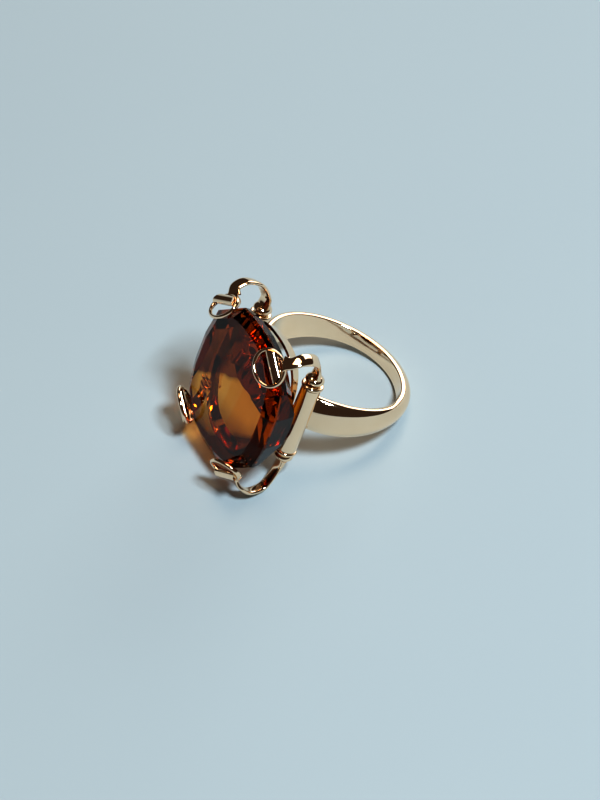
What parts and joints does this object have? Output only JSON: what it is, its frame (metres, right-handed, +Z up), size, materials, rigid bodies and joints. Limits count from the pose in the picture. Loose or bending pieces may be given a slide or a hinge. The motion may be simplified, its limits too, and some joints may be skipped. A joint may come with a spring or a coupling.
{
  "type": "cocktail ring",
  "caption": "Polished rose-gold cocktail ring with a large step-cut amber stone held by looped strap claws between two side bars, lying on its side.",
  "frame": {"origin": "centre of the bounding box in X and Y, on the surface the ring lies on", "axes": "+Z up from that surface; +X from the left side bar to the right one; +Y from the head towards the back of the shank. The finger axis leans 27.6 degrees back from +Z towards +Y"},
  "size_m": [0.02, 0.0274, 0.0197],
  "materials": {
    "shank_gold": "polished rose gold",
    "bar_gold": "polished rose gold",
    "claw_gold": "polished rose gold",
    "collet_gold": "polished rose gold",
    "stone": "faceted transparent amber stone"
  },
  "bodies": {
    "root": {"shank": "shank_gold", "side_bar_right": "bar_gold", "side_bar_left": "bar_gold", "bar_flange_right_upper": "bar_gold", "bar_bead_right_upper": "bar_gold", "claw_strap_right_upper": "claw_gold", "claw_eye_right_upper": "claw_gold", "claw_barrel_right_upper": "claw_gold", "bar_flange_right_lower": "bar_gold", "bar_bead_right_lower": "bar_gold", "claw_strap_right_lower": "claw_gold", "claw_eye_right_lower": "claw_gold", "claw_barrel_right_lower": "claw_gold", "bar_flange_left_upper": "bar_gold", "bar_bead_left_upper": "bar_gold", "claw_strap_left_upper": "claw_gold", "claw_eye_left_upper": "claw_gold", "claw_barrel_left_upper": "claw_gold", "bar_flange_left_lower": "bar_gold", "bar_bead_left_lower": "bar_gold", "claw_strap_left_lower": "claw_gold", "claw_eye_left_lower": "claw_gold", "claw_barrel_left_lower": "claw_gold", "stone_collet": "collet_gold", "stone": "stone"}
  },
  "joints": []
}
